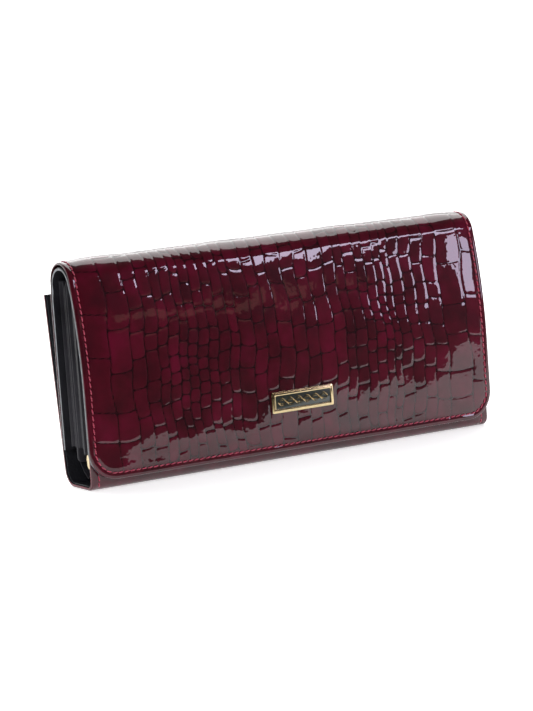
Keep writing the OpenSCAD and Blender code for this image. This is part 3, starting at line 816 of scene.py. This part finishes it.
def stitch_shape(thread, length):
    """One stitch: a rod with tucked-in ends, along X, modelled once"""
    bpy.ops.object.select_all(action="DESELECT")
    bpy.ops.mesh.primitive_cylinder_add(
        vertices=8, radius=thread / 2 * MM, depth=length * MM, end_fill_type="NGON",
        rotation=(0, math.pi / 2, 0),
    )
    rod = bpy.context.active_object
    bpy.ops.object.transform_apply(location=True, rotation=True, scale=True)
    bpy.ops.object.mode_set(mode="EDIT")
    bpy.ops.mesh.select_all(action="SELECT")
    for share in (-0.36, -0.18, 0.0, 0.18, 0.36):
        bpy.ops.mesh.select_all(action="SELECT")
        bpy.ops.mesh.bisect(plane_co=(share * length * MM, 0, 0), plane_no=(1, 0, 0))
    bpy.ops.object.mode_set(mode="OBJECT")
    co = np.array([v.co for v in rod.data.vertices])
    t = np.abs(co[:, 0]) / (length * MM / 2)
    slim = np.sqrt(np.clip(1.05 - t ** 3, 0.12, 1))
    co[:, 1] *= slim
    co[:, 2] = co[:, 2] * slim - 0.28 * thread * MM * t ** 3
    rod.data.vertices.foreach_set("co", co.ravel())
    faces = [list(p.vertices) for p in rod.data.polygons]
    bpy.data.objects.remove(rod)
    return co, faces


def sew(name, sizes, path, body=None, blend=None, nodes=()):
    """Sets stitches along a path of points and normals, each slightly slanted"""
    points, normals = path
    steps = np.linalg.norm(np.diff(points, axis=0), axis=1)
    along = np.concatenate([[0], np.cumsum(steps)])
    count = int(along[-1] // sizes.stitch_pitch)
    shape, faces = stitch_shape(sizes.thread, sizes.stitch_pitch * 0.86)
    all_points, all_faces = [], []
    for k in range(count):
        middle = (k + 0.5) * along[-1] / count
        at = np.array([np.interp(middle, along, points[:, i]) for i in range(3)])
        ahead = np.array([np.interp(middle + 0.4, along, points[:, i]) for i in range(3)])
        behind = np.array([np.interp(middle - 0.4, along, points[:, i]) for i in range(3)])
        up = np.array([np.interp(middle, along, normals[:, i]) for i in range(3)])
        way = ahead - behind
        way /= np.linalg.norm(way)
        side = np.cross(up, way)
        side /= np.linalg.norm(side)
        up = np.cross(way, side)
        slant = math.radians(9)
        forward = way * math.cos(slant) + side * math.sin(slant)
        across = side * math.cos(slant) - way * math.sin(slant)
        placed = shape[:, :1] * forward + shape[:, 1:2] * across + shape[:, 2:] * up
        all_faces += [[i + len(all_points) * len(shape) for i in f] for f in faces]
        all_points.append(placed + at * MM)
    piece = mesh_piece(name, np.concatenate(all_points).tolist(), all_faces)
    piece.data.materials.append(MATERIALS["thread"])
    face_outwards(piece)
    bpy.ops.object.shade_smooth()
    if blend:
        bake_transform(piece)
    else:
        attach(piece, body)
    if nodes:
        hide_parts(*nodes)


def profile_path(place, xs, runs, lift, half):
    """Points and normals over a profile"""
    y, z, ny, nz = place(np.asarray(runs, float))
    drop = lift - end_sweep(np.asarray(xs, float), half)
    points = np.stack([np.asarray(xs, float), y + ny * drop, z + nz * drop], -1)
    return points, np.stack([np.zeros(len(runs)), ny, nz], -1)


def build_flap_seams(sizes):
    half = LENGTH / 2
    inset, corner = SEAM_IN, sizes.corner - SEAM_IN
    turn = np.linspace(0, math.pi / 2, 16)
    down = np.arange(RUN_APEX, sizes.corner, -1.0)
    left_x = np.concatenate([
        np.full(len(down), -half + inset),
        -half + sizes.corner - corner * np.cos(turn),
        np.linspace(-half + sizes.corner, 0, 40)[1:],
    ])
    left_s = np.concatenate([
        down, sizes.corner - corner * np.sin(turn), np.full(39, inset)
    ])
    xs = np.concatenate([left_x, -left_x[::-1][1:]])
    runs = np.concatenate([left_s, left_s[::-1][1:]])
    sew(
        "flap_front_stitches", sizes, profile_path(flap_place, xs, runs, SEAM_SINK, half),
        blend=("flap_spine", "flap_front", arch_point(math.pi / 2 + BEND),
               arch_point(math.pi - BEND)),
        nodes=["flap_front_stitching"],
    )
    rear = np.arange(RUN_APEX, RUN_WALL + 5, 1.0)
    for side, title, nodes in (
        (-1, "left", ["flap_spine_stitching"]), (1, "right", ["back_wall_stitching"]),
    ):
        path = profile_path(
            flap_place, np.full(len(rear), side * (half - inset)), rear, SEAM_SINK, half
        )
        sew(
            "flap_rear_stitches_" + title, sizes, path,
            blend=("wallet_body", "flap_spine", arch_point(BEND),
                   arch_point(math.pi / 2 - BEND)),
            nodes=nodes,
        )


# ---- shell ----

PANEL_CORNER = 4.0
PANEL_SEAM_IN = 3.2
PANEL_SEAM_SINK = -0.08
# A half width so great that the seam stays clear of the end sweep
NO_SWEEP = 1e6


def build_shell(sizes):
    half = BODY_LENGTH / 2

    def face(x, s):
        top = rim_distance(x, s, half, PANEL_CORNER)
        bottom = rim_distance(x, TURN_END - s, half, PANEL_CORNER)
        e = np.minimum(top, bottom)
        gap, own = tiles(x, s + 12)
        back = smooth((BACK_RUN + 8 - s) / 8)
        fade = smooth((e - PLAIN_RIM) / RIM_FADE) * back
        cut = sizes.groove_depth * np.exp(-((gap / sizes.groove_width) ** 2))
        crown = 0.07 * (1 - np.exp(-gap / 1.6))
        on_base = smooth((s - TURN_BACK + 3) / 3) * smooth((TURN_FLAT + 3 - s) / 3)
        wave = (swell(x, s) - 0.05) * smooth(e / 8) * (1 - on_base)
        lift = fade * (crown - cut - 0.08) + wave - rim_roll(e, 0.6)
        lift = lift - 0.2 * np.exp(-(((e - PANEL_SEAM_IN) / 0.7) ** 2)) * (1 - on_base)
        # Mask of the painted shade in the grooves
        groove = np.exp(-((gap / (GROOVE_SHADE_SHARE * sizes.groove_width)) ** 2)) * fade
        return lift, groove, np.where(back > 0.02, own, 0.5)

    back_runs = np.concatenate([
        corner_rows(PANEL_CORNER, 0.5), spaced(PANEL_CORNER, BACK_RUN + 8, 0.5)[1:],
        spaced(BACK_RUN + 8, TURN_PART, 0.9)[1:],
    ])
    front_runs = np.concatenate([
        spaced(TURN_PART, TURN_END - PANEL_CORNER, 0.6),
        (TURN_END - corner_rows(PANEL_CORNER, 0.5))[::-1][1:],
    ])
    colours = [MATERIALS["hide"], MATERIALS["red_edge"], MATERIALS["lining"]]
    for name, runs, node in (
        ("shell_back_hide", back_runs, "shell_leather"),
        ("purse_front_hide", front_runs, "front_panel_leather"),
    ):
        piece, part = sweep(
            name, columns(half, 0.56), runs, shell_place, half, 0, face, LEATHER_T, 40
        )
        finish_sheet(piece, part, colours)
        settle(piece, node)

    def inner(x, s):
        e = half - 1 - np.abs(x)
        return -(LEATHER_T + 0.12) - rim_roll(e, 0.2), np.zeros(x.shape), np.zeros(x.shape)

    # The rims take the grey edge paint, pale partly as a painted highlight
    colours = [MATERIALS["lining"], MATERIALS["edge"], MATERIALS["lining"]]
    for name, start, stop, node in (
        ("shell_back_lining", 1.2, TURN_PART, "shell_lining"),
        ("purse_front_lining", TURN_PART, TURN_END - 1.2, "front_panel_lining"),
    ):
        piece, part = sweep(
            name, columns(half - 0.7, 3.0), spaced(start, stop, 0.6), shell_place, half - 0.7, 0,
            inner, LEATHER_T + 0.46, 60,
        )
        finish_sheet(piece, part, colours)
        settle(piece, node)


def bend_ends():
    """Two points, one under the wallet by the hinge and one on the purse front above it, handed to
    the front seams
    """
    return Vector((0, HINGE[1] + 0.6, 0.5)) * MM, Vector((0, PANEL_Y, HINGE[2] + 2)) * MM


def settle(piece, node):
    """The back of the shell rides the wallet, and its front keeps its place in the world"""
    if node.startswith("shell"):
        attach(piece, "wallet_body")
    else:
        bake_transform(piece)
    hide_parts(node)


def build_shell_seams(sizes):
    half = BODY_LENGTH / 2
    for side, title in ((-1, "left"), (1, "right")):
        runs = np.arange(TURN_FLAT + 3, TURN_END - 3, 1.0)
        xs = np.full(len(runs), side * (half - PANEL_SEAM_IN))
        sew(
            "purse_front_stitches_" + title, sizes,
            profile_path(shell_place, xs, runs, PANEL_SEAM_SINK, NO_SWEEP),
            blend=("wallet_body", "purse_front", *bend_ends()),
            nodes=["front_panel_stitching"] if side < 0 else (),
        )
        runs = np.arange(3, BACK_RUN + 6, 1.0)
        xs = np.full(len(runs), side * (half - PANEL_SEAM_IN))
        sew(
            "back_panel_stitches_" + title, sizes,
            profile_path(shell_place, xs, runs, PANEL_SEAM_SINK, NO_SWEEP),
            body="wallet_body", nodes=["shell_stitching"] if side < 0 else (),
        )


# ---- folded linings at the wallet's ends ----


def folded_sheet(name, plans, thickness=0.7):
    """A pleated sheet: plans are (x, y, z) lines of its folds at each height, low to high"""
    points = np.array(plans, float)
    rows, cols = points.shape[:2]
    bpy.ops.object.select_all(action="DESELECT")
    bpy.ops.mesh.primitive_grid_add(x_subdivisions=cols - 1, y_subdivisions=rows - 1, size=1)
    piece = bpy.context.active_object
    piece.name = name
    co = np.array([v.co for v in piece.data.vertices])
    across = np.rint((co[:, 0] + 0.5) * (cols - 1)).astype(int)
    up = np.rint((co[:, 1] + 0.5) * (rows - 1)).astype(int)
    piece.data.vertices.foreach_set("co", (points[up, across] * MM).ravel())
    piece.data.update()
    only(piece)
    shell = piece.modifiers.new("Thickness", "SOLIDIFY")
    shell.thickness = thickness * MM
    shell.offset = 0
    rounding = piece.modifiers.new("Rounding", "BEVEL")
    rounding.width = 0.25 * MM
    rounding.segments = 2
    rounding.angle_limit = math.radians(40)
    apply_all(piece)
    face_outwards(piece)
    bpy.ops.object.shade_smooth_by_angle(angle=math.radians(40))
    piece.data.materials.append(MATERIALS["leaf"])
    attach(piece, "wallet_body")


def back_inside(z):
    """The back panel's lined face at a height"""
    return (
        BACK_C + (BACK_FOLD_R - LEATHER_T - 0.5) / math.cos(BACK_LEAN)
        + math.tan(BACK_LEAN) * (z - BACK_FOLD_R)
    )


# The lining under the leaves, from front to rear: y and z
BASE_V = ((-4.2, 8.3), (-1.6, 5.2), (1.2, 2.7), (4.6, 5.4), (7.6, 9.4))


def build_end_folds():
    end = BODY_LENGTH / 2
    for side, title in ((-1, "left"), (1, "right")):
        plans = []
        for z in (24, 36, 48, 60, 67):
            near, far = WALL_Y + 0.55, back_inside(z) - 0.55
            spread = (far - near) / 4
            deep = 1.2 + 1.1 * spread
            plans.append([
                (side * (end - 1.6 - deep * (k % 2)), near + spread * k, z) for k in range(5)
            ])
        folded_sheet("pocket_fold_" + title, plans)
        # The lining under the leaves, folded down into a V
        plans = []
        for x in (end - 22, end - 5.5):
            plans.append([(side * x, y, z) for y, z in BASE_V])
        folded_sheet("base_fold_" + title, plans)


# ---- parts finished from their plain solids ----

# Edges sharper than this are rounded
SHARP = math.radians(35)


def soften(node, name, body, material, radius):
    """A copy of a plain part with merged corners, rounded edges and smooth shading"""
    source = frame["nodes"][node]
    mesh = source.data.copy()
    mesh.name = name
    piece = bpy.data.objects.new(name, mesh)
    bpy.context.collection.objects.link(piece)
    mesh.materials.clear()
    mesh.materials.append(material)
    only(piece)
    bpy.ops.object.mode_set(mode="EDIT")
    bpy.ops.mesh.select_all(action="SELECT")
    bpy.ops.mesh.remove_doubles(threshold=0.000002)
    bpy.ops.mesh.dissolve_limited(angle_limit=math.radians(1))
    bpy.ops.object.mode_set(mode="OBJECT")
    mesh.polygons.foreach_set("material_index", np.zeros(len(mesh.polygons), int))
    rounding = piece.modifiers.new("Rounding", "BEVEL")
    rounding.width = radius * MM
    rounding.segments = 2
    rounding.limit_method = "ANGLE"
    rounding.angle_limit = SHARP
    rounding.use_clamp_overlap = True
    apply_all(piece)
    bpy.ops.object.shade_smooth_by_angle(angle=SHARP)
    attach(piece, body)
    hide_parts(node)


SOFTENED = [
    # node, name, body, material, rounding, slot
    ("front_leaf", "front_leaf_leather", "wallet_body", "leaf", 0.45, "black_leather"),
    ("middle_leaf", "middle_leaf_leather", "wallet_body", "leaf", 0.45, "black_leather"),
    ("card_slots_rear", "card_slots_rear_sheets", "wallet_body", "leaf", 0.1, "black_leather"),
    ("card_slots_middle", "card_slots_middle_sheets", "wallet_body", "leaf", 0.1, "black_leather"),
    ("compartment_floor", "compartment_floor_cloth", "wallet_body", "cloth", 0.1, "lining_fabric"),
    ("pocket_lining", "pocket_lining_cloth", "wallet_body", "cloth", 0.1, "lining_fabric"),
    ("purse_lining", "purse_lining_cloth", "wallet_body", "cloth", 0.1, "lining_fabric"),
    ("purse_gussets", "purse_gusset_cloth", "wallet_body", "cloth", 0.12, "lining_fabric"),
    ("gusset_left", "gusset_left_leather", "wallet_body", "leaf", 0.2, "black_leather"),
    ("gusset_right", "gusset_right_leather", "wallet_body", "leaf", 0.2, "black_leather"),
    ("zip_tapes", "zip_tape_cloth", "wallet_body", "tape", 0.12, "zip_tape"),
    ("zip_teeth", "zip_teeth_cast", "wallet_body", "zip_gold", 0.22, "zip_metal"),
    ("zip_stops", "zip_stops_pressed", "wallet_body", "zip_gold", 0.3, "zip_metal"),
    ("zip_slider", "zip_slider_cast", "zip_slider", "zip_gold", 0.2, "zip_metal"),
    ("zip_puller", "zip_puller_cast", "zip_puller", "zip_gold", 0.25, "zip_metal"),
    ("purse_rear_frame", "purse_rear_frame_bar", "wallet_body", "gold", 0.45, "frame_metal"),
    ("clasp_ball_rear", "clasp_ball_rear_cast", "wallet_body", "gold", 0.2, "frame_metal"),
    ("hinge_rivets", "hinge_rivets_turned", "wallet_body", "gold", 0.12, "frame_metal"),
    ("purse_front_rim", "purse_front_rim_leather", "purse_front", "leaf", 0.3, "black_leather"),
    ("purse_front_frame", "purse_front_frame_bar", "purse_front", "gold", 0.45, "frame_metal"),
    ("clasp_ball_front", "clasp_ball_front_cast", "purse_front", "gold", 0.2, "frame_metal"),
    ("snap_stud", "snap_stud_pressed", "purse_front", "snap_gold", 0.2, "snap_metal"),
    ("snap_socket", "snap_socket_pressed", "flap_front", "snap_gold", 0.2, "snap_metal"),
    ("nameplate_frame", "nameplate_frame_cast", "flap_front", "gold", 0.22, "plate_metal"),
    ("nameplate_plate", "nameplate_plate_lacquered", "flap_front", "plate", 0.08, "plate_inlay"),
    ("nameplate_prongs", "nameplate_prongs_bent", "flap_front", "gold", 0.1, "plate_metal"),
]


def build_softened(bodies):
    for node, name, body, material, radius, slot in SOFTENED:
        if body in bodies:
            soften(node, name, body, MATERIALS[material], radius)


def build_ornament():
    """Two crossing raised waves along the nameplate, as a plain ornament"""
    bottom, top = low("nameplate_plate"), high("nameplate_plate")
    middle = (bottom + top) / 2
    reach = (top[0] - bottom[0]) / 2 - 1.2
    rise = (top[2] - bottom[2]) / 2 - 1.3
    steps = np.linspace(-reach, reach, 181)
    points, faces = [], []
    for phase in (0, math.pi):
        for share in (0.5, 1.0):
            wave = rise * share * np.sin(steps / reach * math.pi * 3 + phase)
            slope = np.gradient(wave, steps)
            side = np.stack([-slope, np.ones(len(steps))], -1) / np.hypot(slope, 1)[:, None] * 0.16
            first = len(points)
            for k in range(len(steps)):
                x, z = middle[0] + steps[k], middle[2] + wave[k]
                for sign, out in ((-1, -0.02), (0, 0.14), (1, -0.02)):
                    points.append((
                        (x + sign * side[k, 0]) * MM, (bottom[1] - out) * MM,
                        (z + sign * side[k, 1]) * MM,
                    ))
            for k in range(len(steps) - 1):
                a = first + 3 * k
                faces += [(a, a + 1, a + 4, a + 3), (a + 1, a + 2, a + 5, a + 4),
                          (a + 2, a, a + 3, a + 5)]
            last = first + 3 * (len(steps) - 1)
            faces += [(first, first + 2, first + 1), (last, last + 1, last + 2)]
    piece = mesh_piece("nameplate_ornament", points, faces)
    piece.data.materials.append(MATERIALS["gold"])
    face_outwards(piece)
    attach(piece, "flap_front")


# ---- stage ----


def emitter(name, place, aim, width, height, power, colour="ffffff"):
    light = bpy.data.lights.new(name, "AREA")
    light.shape = "RECTANGLE"
    light.size = width
    light.size_y = height
    light.energy = power
    light.color = linear(colour)[:3]
    lamp = bpy.data.objects.new(name, light)
    bpy.context.collection.objects.link(lamp)
    lamp.location = place
    lamp.rotation_euler = (Vector(aim) - Vector(place)).to_track_quat("-Z", "Y").to_euler()
    return lamp


def stage_plane(name, place, size, material, rotation=(0, 0, 0)):
    bpy.ops.object.select_all(action="DESELECT")
    bpy.ops.mesh.primitive_plane_add(size=1, location=place, rotation=rotation)
    sheet = bpy.context.active_object
    sheet.name = name
    sheet.scale = (size[0], size[1], 1)
    sheet.data.materials.append(material)
    return sheet


def paper(name, code, glow):
    material, tree = blank(name)
    principled(
        tree,
        {"Base Color": linear(code), "Roughness": 0.9, "Emission Color": linear("ffffff"),
         "Emission Strength": glow},
    )
    return material


def build_stage():
    scene = bpy.context.scene
    scene.view_settings.view_transform = "Standard"
    world = bpy.data.worlds.new("studio")
    scene.world = world
    world.use_nodes = True
    world.node_tree.nodes["Background"].inputs[0].default_value = linear("ffffff")
    world.node_tree.nodes["Background"].inputs[1].default_value = 0.03
    white = paper("white_paper", "f4f4f4", 0.55)
    # The table's front edge runs slantwise, and shows in the flap's gloss as a wavy line;
    # past it lies a paler floor that the gloss does not show
    slant = math.radians(-21.3)
    ahead = Vector((math.sin(slant), -math.cos(slant), 0))
    edge = Vector((0.071, -0.137, 0))
    stage_plane("table", edge - ahead * 1.5, (6, 3.0), white, (0, 0, slant))
    beyond = stage_plane("floor", edge + ahead * 1.5, (6, 3.0), white, (0, 0, slant))
    beyond.visible_glossy = False
    bright = paper("backdrop_paper", "ffffff", 1.0)
    stage_plane("backdrop", (0.6, 1.6, 0.8), (6, 2.6), bright, (math.pi / 2, 0, 0))
    # Lights: name, place, aim, width and height in metres, power in watts, colour
    emitter("overhead", (0.4, 0.62, 0.95), (0.3, 0.5, 0), 1.4, 1.1, 14)
    key = emitter("left_key", (-0.8, -0.9, 0.8), (0, 0, 0.05), 0.7, 0.7, 10)
    key.visible_glossy = False
    emitter("strip", (0.5, -0.62, 0.372), (0.03, 0, 0.08), 0.3, 0.07, 0.8, "ddd2ee")
    emitter("right_patch", (0.53, -0.552, 0.165), (0.085, 0, 0.065), 0.1, 0.18, 0.55, "ddd2ee")
    emitter("warm_card", (0.28, -0.634, 0.18), (-0.05, 0, 0.065), 0.17, 0.035, 0.02, "b08878")

    camera = bpy.data.cameras.new("camera")
    eye = bpy.data.objects.new("camera", camera)
    bpy.context.collection.objects.link(eye)
    azimuth, elevation, roll = map(math.radians, (-29.95, 7.65, -4.13))
    back = Vector((
        math.sin(azimuth) * math.cos(elevation),
        -math.cos(azimuth) * math.cos(elevation),
        math.sin(elevation),
    ))
    right = Vector((math.cos(azimuth), math.sin(azimuth), 0))
    up = back.cross(right)
    side = right * math.cos(roll) + up * math.sin(roll)
    top = up * math.cos(roll) - right * math.sin(roll)
    turn = Matrix((side, top, back)).transposed().to_4x4()
    eye.matrix_world = Matrix.Translation(Vector((-4.0, -0.2, 41.4)) * MM + back * 1.2323) @ turn
    camera.sensor_width = 36
    camera.lens = 152.94
    camera.clip_end = 50
    scene.camera = eye


# ---- operators and panel ----


def sizes_of(context):
    """The sizes a user set, in mm"""
    kept = context.scene.wallet_sizes
    return SimpleNamespace(**{
        name: round(getattr(kept, name) / MM, 5) for name in WalletSizes.__annotations__
    })


class WALLET_OT_flap_hide(bpy.types.Operator):
    """Builds the flap's embossed patent hide, front and rear"""

    bl_idname = "wallet.flap_hide"
    bl_label = "Flap hide"

    def execute(self, context):
        build_flap_hide(sizes_of(context))
        return {"FINISHED"}


class WALLET_OT_flap_lining(bpy.types.Operator):
    """Builds the flap's black lining with its painted edge"""

    bl_idname = "wallet.flap_lining"
    bl_label = "Flap lining"

    def execute(self, context):
        build_flap_lining(sizes_of(context))
        return {"FINISHED"}


class WALLET_OT_flap_seams(bpy.types.Operator):
    """Sews the seam inside the flap's edge"""

    bl_idname = "wallet.flap_seams"
    bl_label = "Flap seams"

    def execute(self, context):
        build_flap_seams(sizes_of(context))
        return {"FINISHED"}


class WALLET_OT_flap_metal(bpy.types.Operator):
    """Finishes the nameplate, its prongs and the snap socket"""

    bl_idname = "wallet.flap_metal"
    bl_label = "Flap metal"

    def execute(self, context):
        build_softened(["flap_front", "flap_spine"])
        build_ornament()
        return {"FINISHED"}


class WALLET_OT_shell(bpy.types.Operator):
    """Builds the back panel, base and purse front: their hides and linings"""

    bl_idname = "wallet.shell"
    bl_label = "Shell"

    def execute(self, context):
        build_shell(sizes_of(context))
        return {"FINISHED"}


class WALLET_OT_shell_seams(bpy.types.Operator):
    """Sews the seams of the back panel and the purse front"""

    bl_idname = "wallet.shell_seams"
    bl_label = "Shell seams"

    def execute(self, context):
        build_shell_seams(sizes_of(context))
        return {"FINISHED"}


class WALLET_OT_end_folds(bpy.types.Operator):
    """Builds the black folds that close the back pocket and the base"""

    bl_idname = "wallet.end_folds"
    bl_label = "End folds"

    def execute(self, context):
        build_end_folds()
        return {"FINISHED"}


class WALLET_OT_leaves(bpy.types.Operator):
    """Finishes the leaves, gussets, card slots, rear frame and zip track"""

    bl_idname = "wallet.leaves"
    bl_label = "Leaves"

    def execute(self, context):
        build_softened(["wallet_body"])
        return {"FINISHED"}


class WALLET_OT_purse(bpy.types.Operator):
    """Finishes the purse's front frame, rim and snap stud"""

    bl_idname = "wallet.purse"
    bl_label = "Purse front"

    def execute(self, context):
        build_softened(["purse_front"])
        return {"FINISHED"}


class WALLET_OT_zip(bpy.types.Operator):
    """Finishes the zip slider and its puller"""

    bl_idname = "wallet.zip"
    bl_label = "Zip"

    def execute(self, context):
        build_softened(["zip_slider", "zip_puller"])
        return {"FINISHED"}


class WALLET_OT_stage(bpy.types.Operator):
    """Sets up the table, backdrop, lights and camera"""

    bl_idname = "wallet.stage"
    bl_label = "Stage"

    def execute(self, context):
        build_stage()
        return {"FINISHED"}


class WALLET_PT_panel(bpy.types.Panel):
    """Lists the wallet's builders"""

    bl_label = "Wallet"
    bl_idname = "WALLET_PT_panel"
    bl_space_type = "VIEW_3D"
    bl_region_type = "UI"
    bl_category = "Wallet"

    def draw(self, context):
        for operator in OPERATORS:
            self.layout.operator(operator.bl_idname)


OPERATORS = (
    WALLET_OT_stage,
    WALLET_OT_flap_hide,
    WALLET_OT_flap_lining,
    WALLET_OT_flap_seams,
    WALLET_OT_flap_metal,
    WALLET_OT_shell,
    WALLET_OT_shell_seams,
    WALLET_OT_end_folds,
    WALLET_OT_leaves,
    WALLET_OT_purse,
    WALLET_OT_zip,
)
CLASSES = (WalletSizes, WalletColours, *OPERATORS, WALLET_PT_panel)


def register():
    for kind in CLASSES:
        bpy.utils.register_class(kind)
    bpy.types.Scene.wallet_sizes = bpy.props.PointerProperty(type=WalletSizes)
    bpy.types.Scene.wallet_colours = bpy.props.PointerProperty(type=WalletColours)


def unregister():
    del bpy.types.Scene.wallet_sizes
    del bpy.types.Scene.wallet_colours
    for kind in reversed(CLASSES):
        bpy.utils.unregister_class(kind)


def main():
    """Registers the add-on and builds every piece"""
    register()
    make_field()
    make_materials(bpy.context.scene.wallet_colours)
    for operator in OPERATORS:
        getattr(bpy.ops.wallet, operator.bl_idname.partition(".")[2])()


if __name__ == "__main__":
    main()
